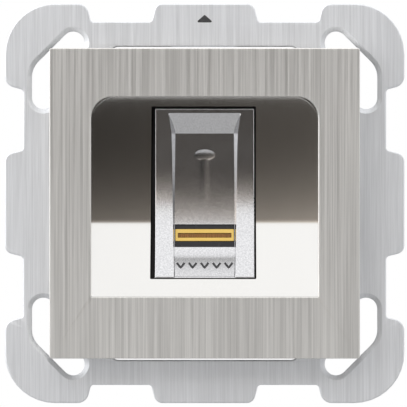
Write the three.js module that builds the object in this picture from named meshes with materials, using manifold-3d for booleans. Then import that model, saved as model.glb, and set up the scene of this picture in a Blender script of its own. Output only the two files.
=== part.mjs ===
// Flush-mounted fingerprint reader: a stamped mounting plate that is screwed over a wall
// box, and a reader insert that snaps into it, with a brushed cover, a polished scoop, a
// finger guide with a swipe sensor, an electronics can and a pluggable screw terminal.
//
// Millimetres. The origin is the centre of the mounting plate's wall face. +X is right
// and +Z up as a user sees it, and +Y points into the wall, so the front faces -Y.

import * as THREE from "three";
import { mergeVertices } from "three/addons/utils/BufferGeometryUtils.js";
import Module from "manifold-3d";

const wasm = await Module();
wasm.setup();

// ---------------------------------------------------------------- driving dimensions

const PLATE_SIZE = 77;
const PLATE_THICKNESS = 1.5;
const PLATE_CORNER = 9.7;
const NOTCH_DEPTH = 3.5;
const BAY_TOP = 30.2;               // the plate's opening ends just outside the cover
const BAY_HALF_WIDTH = 18.2;

const SLOT_HALF_WIDTH = 2.2;
const SLOT_CHAMFER = 0.9;
const SLOT_CHAMFER_DEPTH = 0.6;

const COVER_SIZE = 59.3;
const COVER_SHEET = 1.0;
const COVER_FRONT = -9.5;
const COVER_SKIRT_END = -1.8;
const OPENING_WIDTH = 43.4;
const OPENING_LOW = -17.85;
const OPENING_HIGH = 20.4;
const OPENING_TOP_CORNER = 4;
const OPENING_LOW_CORNER = 0.3;

const SCOOP_SHEET = 0.75;
const SCOOP_FRONT = COVER_FRONT + COVER_SHEET + 0.1;
const SCOOP_FLANGE = 2.2;

const GUIDE_WIDTH = 19.1;
const GUIDE_LOW = -14.3;
const GUIDE_HIGH = 18.3;
const CHANNEL_WIDTH = 11.7;
const CHANNEL_TOP = 17.35;          // the bevel above the finger channel starts here
const CHANNEL_FLOOR_TOP = 13.6;     // and ends here
const GUIDE_SKIN = 1.5;

const SENSOR_HEIGHT = -6.23;
const SENSOR_TILT = THREE.MathUtils.degToRad(24);

const WEB_FRONT = 1.4;              // rear wall of the carrier, behind the scoop
const WEB_BACK = 3.6;
const HOUSING_SIZE = 43;
const HOUSING_WALL = 1.5;
const HOUSING_FRONT = 3.7;
const HOUSING_BACK = 19.5;
const CORNER_SCREW = 17.4;          // screw axes at plus and minus this in X and Z
const BOARD_FRONT = 13.6;
const BOARD_BACK = 15.2;
const LID_BACK = 21.4;

const HEADER_Z = -8;
const POLE_PITCH = 3.81;
const HEADER_MOUTH = 24;
const PLUG_BACK = 34.3;
const CAGE_LOW = 25.3;              // lowest face of a wire cage with its clamp open
const CAGE_TRAVEL = 1.4;

// ---------------------------------------------------------------- materials

const finish = (color, roughness, metalness) =>
  new THREE.MeshStandardMaterial({ color, roughness, metalness });
const GALVANISED = finish(0xc4c6c8, 0.45, 0.9);
const BRUSHED = finish(0xb0aeaa, 0.4, 0.95);
const POLISHED = finish(0xd2d0cc, 0.18, 1);
const SATIN_GREY = finish(0x9a9b9e, 0.4, 0.6);
const BLACK_GLOSS = finish(0x121214, 0.15, 0);
const BLACK_RUBBER = finish(0x0e0d0d, 0.75, 0);
const BLACK_PLASTIC = finish(0x1d1e20, 0.5, 0);
const GREY_PLASTIC = finish(0x5c6065, 0.5, 0);
const GREEN_PLASTIC = finish(0x2f7a46, 0.45, 0);
const GOLD = finish(0xe5c062, 0.3, 1);
const SILICON = finish(0x6e4119, 0.25, 0.3);
const BOARD_GREEN = finish(0x1d4a30, 0.5, 0);
const AMBER_FILM = finish(0xa8681c, 0.4, 0);
const CLEAR_SMOKE = finish(0x3a3a3e, 0.15, 0);
const TINNED = finish(0xcfcfc8, 0.35, 1);
const ZINC_STEEL = finish(0xb9bbbd, 0.35, 1);

// ---------------------------------------------------------------- solids

const reader = new THREE.Group();

// A closed geometry as a solid that can be joined and cut.
function solidOf(geometry) {
  geometry.deleteAttribute("normal");
  geometry.deleteAttribute("uv");
  const merged = mergeVertices(geometry, 1e-5);
  return new wasm.Manifold(new wasm.Mesh({
    numProp: 3,
    vertProperties: merged.attributes.position.array,
    triVerts: new Uint32Array(merged.index.array),
  }));
}

// Puts a finished solid into the scene as one named piece.
function piece(name, solid, material, parent = reader) {
  const { vertProperties, triVerts } = solid.getMesh();
  const geometry = new THREE.BufferGeometry();
  const rounded = Float32Array.from(vertProperties, (v) => Math.round(v * 1e4) / 1e4);
  geometry.setAttribute("position", new THREE.BufferAttribute(rounded, 3));
  geometry.setIndex(new THREE.BufferAttribute(triVerts, 1));
  geometry.computeVertexNormals();
  const mesh = new THREE.Mesh(geometry, material);
  mesh.name = name;
  parent.add(mesh);
  return mesh;
}

const joined = (solids) => solids.reduce((whole, next) => whole.add(next));

// A closed outline from its corners, each [across, up, fillet radius].
function outline(corners) {
  const shape = new THREE.Shape();
  corners.forEach(([x, z, radius], i) => {
    const here = new THREE.Vector2(x, z);
    const [xBefore, zBefore] = corners.at(i - 1);
    const [xAfter, zAfter] = corners[(i + 1) % corners.length];
    const back = new THREE.Vector2(xBefore, zBefore).sub(here).normalize();
    const ahead = new THREE.Vector2(xAfter, zAfter).sub(here).normalize();
    const half = Math.acos(back.dot(ahead)) / 2;
    const reach = radius / Math.tan(half);
    const start = back.clone().multiplyScalar(reach).add(here);
    const middle = back.clone().add(ahead).normalize().multiplyScalar(radius / Math.sin(half));
    const centre = middle.add(here);
    const end = ahead.clone().multiplyScalar(reach).add(here);
    if (i === 0) shape.moveTo(start.x, start.y);
    else shape.lineTo(start.x, start.y);
    if (radius > 0) {
      const from = start.clone().sub(centre).angle();
      const to = end.clone().sub(centre).angle();
      shape.absarc(centre.x, centre.y, radius, from, to, back.cross(ahead) > 0);
    }
  });
  shape.closePath();
  return shape;
}

// The four corners of a rectangle, with one fillet radius at the top and one below.
const rectangle = (left, right, low, high, topRadius = 0, lowRadius = topRadius) => outline([
  [right, low, lowRadius], [right, high, topRadius],
  [left, high, topRadius], [left, low, lowRadius],
]);

const square = (size, radius = 0) => rectangle(-size / 2, size / 2, -size / 2, size / 2, radius);

// An outline in X and Z made thick along Y.
function slab(shape, front, back, curveSegments = 3) {
  const depth = back - front;
  const geometry = new THREE.ExtrudeGeometry(shape, { depth, bevelEnabled: false, curveSegments });
  geometry.rotateX(Math.PI / 2);
  geometry.translate(0, back, 0);
  return solidOf(geometry);
}

// An outline in Y and Z made long along X.
function bar(shape, left, right) {
  const depth = right - left;
  const geometry = new THREE.ExtrudeGeometry(shape, { depth, bevelEnabled: false, curveSegments: 3 });
  geometry.rotateX(Math.PI / 2);
  geometry.rotateZ(Math.PI / 2);
  geometry.translate(left, 0, 0);
  return solidOf(geometry);
}

function block(left, right, front, back, low, high) {
  const geometry = new THREE.BoxGeometry(right - left, back - front, high - low);
  geometry.translate((left + right) / 2, (front + back) / 2, (low + high) / 2);
  return solidOf(geometry);
}

// A round rod along Y.
function rod(radius, front, back, x = 0, z = 0, sides = 16) {
  const geometry = new THREE.CylinderGeometry(radius, radius, back - front, sides);
  geometry.translate(x, (front + back) / 2, z);
  return solidOf(geometry);
}

// ---------------------------------------------------------------- curved surfaces

// Points of a hollow curve in Y and Z, marched upwards from its foot. A straight leg
// runs at its tilt to a height; an arc eases the tilt from one value to the next.
function marched(foot, legs) {
  const points = [new THREE.Vector2(...foot)];
  for (const { tilt, upTo, radius, endTilt, steps = 1 } of legs) {
    const start = points.at(-1);
    if (radius === undefined) {
      const rise = upTo - start.y;
      points.push(new THREE.Vector2(start.x + rise * Math.tan(tilt), upTo));
      continue;
    }
    for (let i = 1; i <= steps; i++) {
      const now = tilt + ((endTilt - tilt) * i) / steps;
      const rise = radius * (Math.sin(tilt) - Math.sin(now));
      const depth = radius * (Math.cos(now) - Math.cos(tilt));
      points.push(new THREE.Vector2(start.x + depth, start.y + rise));
    }
  }
  return points;
}

const degrees = THREE.MathUtils.degToRad;
const scoopCurve = marched([SCOOP_FRONT, OPENING_LOW - 0.1], [
  { tilt: degrees(23), upTo: -5.2 },
  { tilt: degrees(23), radius: 9, endTilt: degrees(9.5), steps: 5 },
  { tilt: degrees(9.5), radius: 172, endTilt: degrees(1.5), steps: 6 },
  { tilt: degrees(1.5), upTo: 24 },
]);
const railCurve = marched([-7.15, GUIDE_LOW - 0.2], [
  { tilt: degrees(22.5), upTo: -8 },
  { tilt: degrees(22.5), radius: 50, endTilt: degrees(3), steps: 9 },
  { tilt: degrees(3), upTo: 24 },
]);
const floorCurve = marched([-7.15, GUIDE_LOW - 0.2], [
  { tilt: degrees(41), upTo: -10.66 },
  { tilt: degrees(41), radius: 16, endTilt: degrees(13), steps: 6 },
  { tilt: degrees(13), radius: 66, endTilt: degrees(3), steps: 5 },
  { tilt: degrees(3), upTo: 24 },
]);

// Everything in front of a curve moved back by a depth, or everything behind it.
const FAR_FRONT = -30;
const FAR_BACK = 30;
function sideOf(curve, depth, farY, halfWidth = 30) {
  const low = curve[0].y - 20;
  const lowest = new THREE.Vector2(curve[0].x + depth, low);
  const edge = [lowest, ...curve.map((p) => new THREE.Vector2(p.x + depth, p.y))];
  const far = [new THREE.Vector2(farY, curve.at(-1).y), new THREE.Vector2(farY, low)];
  return bar(new THREE.Shape([...edge, ...far]), -halfWidth, halfWidth);
}
const inFrontOf = (curve, depth, halfWidth) => sideOf(curve, depth, FAR_FRONT, halfWidth);
const behind = (curve, depth, halfWidth) => sideOf(curve, depth, FAR_BACK, halfWidth);

// ---------------------------------------------------------------- mounting plate

// Repeats the corners of one quarter in all four, anticlockwise.
function fourfold(quarter) {
  const reversed = quarter.toReversed();
  return [
    ...quarter,
    ...reversed.map(([x, z, r]) => [-x, z, r]),
    ...quarter.map(([x, z, r]) => [-x, -z, r]),
    ...reversed.map(([x, z, r]) => [x, -z, r]),
  ];
}

function mountingPlate() {
  const edge = PLATE_SIZE / 2;
  const floor = edge - NOTCH_DEPTH;
  const rim = slab(outline(fourfold([
    [edge, 9.4, 1.7], [floor, 10.3, 0.7], [floor, 21.9, 0.7], [edge, 22.8, 2.2],
    [edge, edge, PLATE_CORNER],
    [22.8, edge, 2.2], [21.9, floor, 0.7], [10.3, floor, 0.7], [9.4, edge, 1.7],
  ])), -PLATE_THICKNESS, 0);
  const opening = slab(outline(fourfold([
    [25, 24, 2], [BAY_HALF_WIDTH, 24, 1], [BAY_HALF_WIDTH, BAY_TOP, 1.6],
  ])), -5, 5);
  let plate = rim.subtract(opening);
  for (const right of [1, -1]) {
    for (const up of [1, -1]) {
      const slot = outline(cornerSlot(right, up));
      plate = plate.subtract(slab(slot, -5, 5));
      plate = plate.subtract(chamferCutter(slot));
    }
  }
  return plate;
}

// The bent slot in one corner of the plate, for the box screws.
function cornerSlot(right, up) {
  const w = SLOT_HALF_WIDTH;
  const diagonal = Math.SQRT1_2;
  const [xTop, zTop] = [25.35, 30.95];
  const [xBend, zBend] = [31.1, 25.2];
  const zEnd = 20.4;
  const miter = w * Math.tan(Math.PI / 8);
  const corners = [
    [xTop - 2 * diagonal * w, zTop, w * 0.99],
    [xTop, zTop + 2 * diagonal * w, w * 0.99],
    [xBend + w, zBend + miter, w + 2.1],
    [xBend + w, zEnd - w, w * 0.99],
    [xBend - w, zEnd - w, w * 0.99],
    [xBend - w, zBend - miter, 1.2],
  ];
  return corners.map(([x, z, r]) => [x * right, z * up, r]);
}

// Coins a sloping edge round a hole, from the plate's front.
function chamferCutter(hole) {
  const geometry = new THREE.ExtrudeGeometry(hole, {
    depth: 1, bevelThickness: SLOT_CHAMFER_DEPTH, bevelSize: SLOT_CHAMFER,
    bevelSegments: 1, curveSegments: 3,
  });
  geometry.rotateX(Math.PI / 2);
  geometry.translate(0, -PLATE_THICKNESS, 0);
  return solidOf(geometry);
}

piece("mounting_plate", mountingPlate(), GALVANISED);

// ---------------------------------------------------------------- cover and scoop

const openingOutline = (grow) => rectangle(
  -OPENING_WIDTH / 2 - grow, OPENING_WIDTH / 2 + grow, OPENING_LOW - grow, OPENING_HIGH + grow,
  OPENING_TOP_CORNER + grow, OPENING_LOW_CORNER + grow,
);

function coverPlate() {
  const inside = COVER_SIZE - 2 * COVER_SHEET;
  const shell = slab(square(COVER_SIZE, 0.4), COVER_FRONT, COVER_SKIRT_END);
  const cavity = slab(square(inside, 0.3), COVER_FRONT + COVER_SHEET, COVER_SKIRT_END + 1);
  const opening = slab(openingOutline(0), COVER_FRONT - 1, COVER_FRONT + 2);
  return shell.subtract(cavity).subtract(opening);
}

// The window in the scoop for the finger guide is a little wider at its foot.
const windowOutline = (grow) => outline([
  [9.95 + grow, GUIDE_LOW - 0.2 - grow, 0.2],
  [10 + grow, GUIDE_HIGH + 0.4 + grow, 0.2],
  [-10 - grow, GUIDE_HIGH + 0.4 + grow, 0.2],
  [-10.3 - grow, GUIDE_LOW - 0.2 - grow, 0.2],
]);
const guideOutline = (grow, radius = 0.5) => rectangle(
  -GUIDE_WIDTH / 2 - grow, GUIDE_WIDTH / 2 + grow, GUIDE_LOW - grow, GUIDE_HIGH + grow, radius,
);

function recessScoop() {
  const hollow = 0.1;
  const skin = slab(openingOutline(hollow + SCOOP_SHEET), SCOOP_FRONT, FAR_BACK)
    .intersect(inFrontOf(scoopCurve, SCOOP_SHEET));
  const flange = slab(openingOutline(SCOOP_FLANGE), SCOOP_FRONT, SCOOP_FRONT + SCOOP_SHEET);
  const cavity = slab(openingOutline(hollow), FAR_FRONT, FAR_BACK).intersect(inFrontOf(scoopCurve, 0));
  return skin.add(flange).subtract(cavity).subtract(slab(windowOutline(0), FAR_FRONT, FAR_BACK));
}

function bondingTape() {
  const front = COVER_FRONT + COVER_SHEET + 0.1;
  const ring = slab(square(COVER_SIZE - 2 * COVER_SHEET - 0.8), front, front + SCOOP_SHEET);
  return ring.subtract(slab(openingOutline(SCOOP_FLANGE + 0.4), front - 1, front + 2));
}

piece("cover_plate", coverPlate(), BRUSHED);
piece("recess_scoop", recessScoop(), POLISHED);
piece("cover_bonding_tape", bondingTape(), BLACK_RUBBER);

// ---------------------------------------------------------------- carrier and its clips

const TUBE_HALF_WIDTH = 24.3;
const TUBE_HALF_HEIGHT = 22.6;
const CLIP_HALF_WIDTH = 6;
const RIVET_X = 3.6;
const RIVET_Z = 25.6;
const GUIDE_SCREW_X = 12;
const GUIDE_SCREW_Z = 2;
const everyCorner = (make) => [[1, 1], [-1, 1], [-1, -1], [1, -1]].map(([x, z]) => make(x, z));

function carrierFrame() {
  const ringFront = SCOOP_FRONT + SCOOP_SHEET + 0.1;
  const ring = slab(square(COVER_SIZE - 2 * COVER_SHEET - 0.4, 0.5), ringFront, -2);
  const tube = slab(
    rectangle(-TUBE_HALF_WIDTH, TUBE_HALF_WIDTH, -TUBE_HALF_HEIGHT, TUBE_HALF_HEIGHT, 2), -3, WEB_BACK,
  );
  const trayRoom = slab(openingOutline(SCOOP_SHEET + 0.4), FAR_FRONT, WEB_FRONT);
  const guideRoom = slab(guideOutline(0.35), FAR_FRONT, FAR_BACK);
  const holes = joined([
    ...everyCorner((x, z) => rod(1.05, 1.8, 5, x * CORNER_SCREW, z * CORNER_SCREW, 12)),
    ...everyCorner((x, z) => rod(1, -5.2, 0, x * RIVET_X, z * RIVET_Z, 12)),
    rod(0.8, 1.9, 5, GUIDE_SCREW_X, GUIDE_SCREW_Z, 12),
    rod(0.8, 1.9, 5, -GUIDE_SCREW_X, GUIDE_SCREW_Z, 12),
  ]);
  return ring.add(tube).subtract(trayRoom).subtract(guideRoom).subtract(holes);
}

// A spring strip bent out of flat steel: a riveted foot, and a nose behind the plate.
function springClip(up) {
  const strip = [
    [-1.9, 23.2], [-1.9, 28.5], [0.4, 28.5], [2.3, 29.9], [4.7, 28.35],
    [4.4, 27.9], [2.3, 29.3], [0.6, 28], [-1.4, 28], [-1.4, 23.2],
  ];
  const shape = new THREE.Shape(strip.map(([y, z]) => new THREE.Vector2(y, z * up)));
  const holes = rod(1, -3, 0, RIVET_X, RIVET_Z * up, 12).add(rod(1, -3, 0, -RIVET_X, RIVET_Z * up, 12));
  return bar(shape, -CLIP_HALF_WIDTH, CLIP_HALF_WIDTH).subtract(holes.intersect(block(-9, 9, -3, -1, -30, 30)));
}

const clipRivet = (x, z) => rod(0.85, -5, -1.2, x, z, 12).add(rod(1.6, -1.3, -0.6, x, z, 12));

piece("carrier_frame", carrierFrame(), BLACK_PLASTIC);
piece("clip_top", springClip(1), ZINC_STEEL);
piece("clip_bottom", springClip(-1), ZINC_STEEL);
everyCorner((x, z) => [x * RIVET_X, z * RIVET_Z])
  .forEach(([x, z], i) => piece(`clip_rivet_${i + 1}`, clipRivet(x, z), ZINC_STEEL));

// ---------------------------------------------------------------- finger guide

const DIMPLE_Z = 9.4;
const GUIDE_FLANGE_BACK = HOUSING_FRONT + 1.5;

function fingerGuide() {
  const body = slab(guideOutline(0), FAR_FRONT, WEB_BACK + 0.2).intersect(behind(railCurve, 0));
  const flange = slab(rectangle(-13.6, 13.6, -17.2, 19.6, 1.5), HOUSING_FRONT, GUIDE_FLANGE_BACK);
  const channelLimit = bar(new THREE.Shape([
    new THREE.Vector2(FAR_FRONT, GUIDE_LOW - 5),
    new THREE.Vector2(FAR_BACK, GUIDE_LOW - 5),
    new THREE.Vector2(FAR_BACK, CHANNEL_FLOOR_TOP),
    new THREE.Vector2(1.6, CHANNEL_FLOOR_TOP),
    new THREE.Vector2(-0.33, CHANNEL_TOP),
    new THREE.Vector2(FAR_FRONT, CHANNEL_TOP),
  ]), -CHANNEL_WIDTH / 2, CHANNEL_WIDTH / 2);
  const channel = channelLimit.intersect(inFrontOf(floorCurve, 0));
  const inside = slab(guideOutline(-1.2), FAR_FRONT, FAR_BACK).intersect(behind(floorCurve, GUIDE_SKIN));
  const dimple = slab(rectangle(-2, 2, DIMPLE_Z - 1.2, DIMPLE_Z + 1.2, 1.1), FAR_FRONT, FAR_BACK);
  const groove = slab(rectangle(-1.1, 1.1, 0, DIMPLE_Z), FAR_FRONT, FAR_BACK);
  const mark = dimple.intersect(inFrontOf(floorCurve, 0.5))
    .add(groove.intersect(inFrontOf(floorCurve, 0.2)));
  const sensorWindow = tilted(block(-5.85, 5.85, -3, 6, -2.45, 2.45));
  return joined([body, flange])
    .subtract(channel).subtract(inside).subtract(mark).subtract(sensorWindow)
    .subtract(rod(1.15, 0, 4, 0, DIMPLE_Z))
    .subtract(rod(0.95, 3, 6, GUIDE_SCREW_X, GUIDE_SCREW_Z, 12))
    .subtract(rod(0.95, 3, 6, -GUIDE_SCREW_X, GUIDE_SCREW_Z, 12));
}

// The sensor lies in the slope of the channel's floor.
const SENSOR_Y = floorDepthAt(SENSOR_HEIGHT);
function floorDepthAt(height) {
  const i = floorCurve.findIndex((p) => p.y > height);
  const [low, high] = [floorCurve[i - 1], floorCurve[i]];
  return low.x + ((high.x - low.x) * (height - low.y)) / (high.y - low.y);
}
function tilted(solid) {
  return solid.rotate([THREE.MathUtils.radToDeg(-SENSOR_TILT), 0, 0])
    .translate([0, SENSOR_Y, SENSOR_HEIGHT]);
}

function scannerGasket() {
  const room = slab(guideOutline(0.12), FAR_FRONT, FAR_BACK);
  const lip = slab(windowOutline(-0.05), FAR_FRONT, FAR_BACK)
    .intersect(behind(scoopCurve, 0.45)).intersect(inFrontOf(scoopCurve, 1.35));
  const collar = slab(windowOutline(1), FAR_FRONT, FAR_BACK)
    .intersect(behind(scoopCurve, SCOOP_SHEET + 0.1)).intersect(inFrontOf(scoopCurve, 1.35));
  return lip.add(collar).subtract(room);
}

const guideScrew = (x) => rod(0.75, 2.1, 5.35, x, GUIDE_SCREW_Z, 12)
  .add(rod(1.5, 5.3, 6.3, x, GUIDE_SCREW_Z, 12))
  .subtract(block(x - 2, x + 2, 5.85, 7, GUIDE_SCREW_Z - 0.25, GUIDE_SCREW_Z + 0.25));

piece("finger_guide", fingerGuide(), SATIN_GREY);
piece("scanner_gasket", scannerGasket(), BLACK_RUBBER);
piece("guide_screw_left", guideScrew(-GUIDE_SCREW_X), ZINC_STEEL);
piece("guide_screw_right", guideScrew(GUIDE_SCREW_X), ZINC_STEEL);

// ---------------------------------------------------------------- swipe sensor

const SENSOR_BOARD_FRONT = GUIDE_FLANGE_BACK + 0.2;

const sensor = new THREE.Group();
sensor.position.set(0, SENSOR_Y, SENSOR_HEIGHT);
sensor.rotation.x = -SENSOR_TILT;
reader.add(sensor);
const frameSeat = block(-5.7, 5.7, -1, 0.4, -1.22, 1.42);
const framePocket = block(-5.15, 5.15, -1, 1, -0.43, 0.5);
piece("sensor_window", block(-5.75, 5.75, 0, 1.85, -2.35, 2.35).subtract(frameSeat), BLACK_GLOSS, sensor);
piece("sensor_gold_frame", block(-5.65, 5.65, -0.1, 0.35, -1.17, 1.37).subtract(framePocket), GOLD, sensor);
piece("sensor_strip", block(-5.1, 5.1, 0, 0.35, -0.38, 0.45), SILICON, sensor);

// A thin ribbon of one width whose middle line runs through points in Y and Z.
function ribbon(points, thickness, halfWidth, steps) {
  const line = new THREE.CatmullRomCurve3(points.map(([y, z]) => new THREE.Vector3(y, z, 0)));
  const sides = [[], []];
  for (let i = 0; i <= steps; i++) {
    const at = line.getPoint(i / steps);
    const along = line.getTangent(i / steps);
    const [dy, dz] = [(-along.y * thickness) / 2, (along.x * thickness) / 2];
    sides[0].push(new THREE.Vector2(at.x + dy, at.y + dz));
    sides[1].unshift(new THREE.Vector2(at.x - dy, at.y - dz));
  }
  return bar(new THREE.Shape([...sides[0], ...sides[1]]), -halfWidth, halfWidth);
}

piece("sensor_flex", ribbon([[1, -7.3], [2.2, -8.6], [3.5, -9.8], [5.2, -10.2]], 0.3, 4, 8), AMBER_FILM);
piece("sensor_board", block(-9.4, 9.4, SENSOR_BOARD_FRONT, SENSOR_BOARD_FRONT + 1, -13.5, 17.5), BOARD_GREEN);
piece("status_led", block(-0.8, 0.8, 4.65, SENSOR_BOARD_FRONT - 0.05, DIMPLE_Z - 0.4, DIMPLE_Z + 0.4), CLEAR_SMOKE);
piece("light_pipe", rod(1, 2.1, 4.5, 0, DIMPLE_Z), CLEAR_SMOKE);

// ---------------------------------------------------------------- electronics can

const POST_X = 15.5;
const LID_FRONT = HOUSING_BACK + 0.1;
const poles = [0, 1, 2, 3].map((i) => (i - 1.5) * POLE_PITCH);
const HEADER_HALF_WIDTH = 8.7;
const HEADER_HALF_HEIGHT = 3.9;

function moduleHousing() {
  const outer = slab(square(HOUSING_SIZE, 5), HOUSING_FRONT, HOUSING_BACK);
  const inner = slab(square(HOUSING_SIZE - 2 * HOUSING_WALL, 4), HOUSING_FRONT - 1, HOUSING_BACK + 1);
  const bosses = everyCorner((x, z) => rod(2.7, HOUSING_FRONT, HOUSING_BACK, x * CORNER_SCREW, z * CORNER_SCREW));
  const holes = everyCorner((x, z) => rod(1.15, 0, 25, x * CORNER_SCREW, z * CORNER_SCREW, 12));
  const ledge = HOUSING_SIZE / 2 - HOUSING_WALL;
  const ledges = [
    block(ledge - 1.2, ledge + 0.5, BOARD_FRONT - 2.1, BOARD_FRONT - 0.1, -8, 8),
    block(-ledge - 0.5, -ledge + 1.2, BOARD_FRONT - 2.1, BOARD_FRONT - 0.1, -8, 8),
  ];
  return joined([outer.subtract(inner), ...bosses, ...ledges]).subtract(joined(holes));
}

function mainBoard() {
  const board = slab(square(39.4, 1), BOARD_FRONT, BOARD_BACK);
  const bossRoom = everyCorner((x, z) => rod(3, 10, 18, x * CORNER_SCREW, z * CORNER_SCREW));
  const pinHoles = poles.map((x) => block(x - 0.6, x + 0.6, 10, 18, HEADER_Z - 0.6, HEADER_Z + 0.6));
  return board.subtract(joined([...bossRoom, ...pinHoles]));
}

function rearCover() {
  const lid = slab(square(HOUSING_SIZE, 5), LID_FRONT, LID_BACK);
  const posts = [-POST_X, POST_X].map((x) => rod(1.6, BOARD_BACK + 0.1, LID_FRONT + 0.5, x, 4, 12));
  const holes = everyCorner((x, z) => rod(1.15, 15, 25, x * CORNER_SCREW, z * CORNER_SCREW, 12));
  const w = HEADER_HALF_WIDTH + 0.3;
  const h = HEADER_HALF_HEIGHT + 0.3;
  const mouth = block(-w, w, 15, 25, HEADER_Z - h, HEADER_Z + h);
  return joined([lid, ...posts]).subtract(joined([...holes, mouth]));
}

const housingScrew = (x, z) => rod(0.98, 2, LID_BACK + 0.2, x, z, 12)
  .add(rod(2, LID_BACK + 0.1, LID_BACK + 1.6, x, z))
  .subtract(block(x - 3, x + 3, LID_BACK + 0.9, LID_BACK + 3, z - 0.3, z + 0.3));

piece("module_housing", moduleHousing(), BLACK_PLASTIC);
piece("main_board", mainBoard(), BOARD_GREEN);
piece("rear_cover", rearCover(), BLACK_PLASTIC);
everyCorner((x, z) => [x * CORNER_SCREW, z * CORNER_SCREW])
  .forEach(([x, z], i) => piece(`housing_screw_${i + 1}`, housingScrew(x, z), ZINC_STEEL));

// A component that stands on the front of the main board, around its middle.
const onBoard = (x, z, width, height, tall) => block(
  x - width / 2, x + width / 2, BOARD_FRONT - 0.1 - tall, BOARD_FRONT - 0.1, z - height / 2, z + height / 2,
);
const standing = (x, z, radius, tall) => rod(radius, BOARD_FRONT - 0.1 - tall, BOARD_FRONT - 0.1, x, z);

piece("processor_chip", onBoard(-7, 8, 10, 10, 1.4), BLACK_PLASTIC);
piece("memory_chip", onBoard(4.5, 9, 6, 5, 1.2), BLACK_PLASTIC);
piece("transceiver_chip", onBoard(12.5, -1, 5, 4, 1.5), BLACK_PLASTIC);
piece("crystal", onBoard(-14.5, 1, 3.2, 5, 1.2), TINNED);
piece("capacitor_1", standing(13, 8.5, 3.15, 5.8), TINNED);
piece("capacitor_2", standing(-13, -7.5, 3.15, 5.8), TINNED);
piece("inductor", onBoard(10, -9.5, 6, 6, 3), GREY_PLASTIC);
piece("buzzer", standing(-3.5, -14, 4.2, 3.5), BLACK_PLASTIC);
piece("board_connector", onBoard(0, -5, 10, 3, 2.2), GREY_PLASTIC);
piece("board_flex", ribbon(
  [[6.65, 8], [6.8, 4], [8.2, 1], [10.4, 0], [12, -1], [12.4, -3.3]], 0.25, 4, 14,
), AMBER_FILM);

// ---------------------------------------------------------------- terminal header

function terminalHeader() {
  const [w, h] = [HEADER_HALF_WIDTH, HEADER_HALF_HEIGHT];
  const front = BOARD_BACK + 0.1;
  const shroud = block(-w, w, front, HEADER_MOUTH, HEADER_Z - h, HEADER_Z + h);
  const socket = block(-w + 0.8, w - 0.8, front + 2, HEADER_MOUTH + 1, HEADER_Z - h + 0.9, HEADER_Z + h - 0.9);
  const pinHoles = poles.map((x) => block(x - 0.55, x + 0.55, 10, 20, HEADER_Z - 0.55, HEADER_Z + 0.55));
  return shroud.subtract(joined([socket, ...pinHoles]));
}

piece("terminal_header", terminalHeader(), GREEN_PLASTIC);
poles.forEach((x, i) => {
  const pin = block(x - 0.5, x + 0.5, BOARD_FRONT - 1, 22.5, HEADER_Z - 0.5, HEADER_Z + 0.5);
  piece(`header_pin_${i + 1}`, pin, TINNED);
});

// ---------------------------------------------------------------- plug with screw clamps

const NOSE_FRONT = BOARD_BACK + 2.4;
const PLUG_FRONT = HEADER_MOUTH + 0.3;
const PLUG_HALF_WIDTH = 8.2;
const CAGE_WINDOW = [CAGE_LOW + 0.7, CAGE_LOW + 4];
const CAGE_HIGH = CAGE_LOW + 5;
const BAR_LOW = CAGE_WINDOW[1] - 1.1;
const BAR_HIGH = CAGE_WINDOW[1] - 0.3;
const SCREW_SEAT = 32.2;

function plugBody() {
  const nose = block(-7.6, 7.6, NOSE_FRONT, PLUG_FRONT + 1, HEADER_Z - 2.7, HEADER_Z + 2.7);
  const head = block(-PLUG_HALF_WIDTH, PLUG_HALF_WIDTH, PLUG_FRONT, PLUG_BACK, HEADER_Z - 4.6, HEADER_Z + 4.4);
  const rooms = poles.flatMap((x) => [
    block(x - 1.35, x + 1.35, NOSE_FRONT - 1, PLUG_FRONT + 2, HEADER_Z - 1.5, HEADER_Z + 1.5),
    block(x - 1.75, x + 1.75, CAGE_LOW - 0.4, SCREW_SEAT - 0.3, HEADER_Z - 1.95, HEADER_Z + 3),
    block(x - 1.35, x + 1.35, CAGE_WINDOW[0], BAR_LOW + 0.1, HEADER_Z - 6, HEADER_Z),
    block(x - 1.2, x + 1.2, PLUG_FRONT - 1.5, CAGE_LOW, HEADER_Z - 1, HEADER_Z + 3),
    rod(1.25, SCREW_SEAT - 1, SCREW_SEAT + 1, x, HEADER_Z, 12),
    rod(1.7, SCREW_SEAT, PLUG_BACK + 1, x, HEADER_Z, 16),
  ]);
  return nose.add(head).subtract(joined(rooms));
}

// A bent contact: a socket for the pin, a riser, and a bar that the wire is clamped to.
function plugContact(x) {
  const socket = block(x - 1.15, x + 1.15, NOSE_FRONT + 0.3, PLUG_FRONT - 0.3, HEADER_Z - 1.3, HEADER_Z + 1.3);
  const pinRoom = block(x - 0.62, x + 0.62, NOSE_FRONT - 1, 22.9, HEADER_Z - 0.62, HEADER_Z + 0.62);
  const foot = block(x - 1, x + 1, PLUG_FRONT - 1.1, PLUG_FRONT - 0.3, HEADER_Z, HEADER_Z + 2.8);
  const riser = block(x - 1, x + 1, PLUG_FRONT - 1.1, BAR_HIGH, HEADER_Z + 2.1, HEADER_Z + 2.8);
  const clampBar = block(x - 1, x + 1, BAR_LOW, BAR_HIGH, HEADER_Z - 1.6, HEADER_Z + 2.8);
  return joined([socket.subtract(pinRoom), foot, riser, clampBar]);
}

function wireCage(x) {
  const outside = block(x - 1.6, x + 1.6, CAGE_LOW, CAGE_HIGH, HEADER_Z - 1.7, HEADER_Z + 1.7);
  const wireRoom = block(x - 1.15, x + 1.15, ...CAGE_WINDOW, HEADER_Z - 3, HEADER_Z + 3);
  return outside.subtract(wireRoom).subtract(rod(1.15, CAGE_LOW + 2, CAGE_HIGH + 1, x, HEADER_Z, 12));
}

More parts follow.
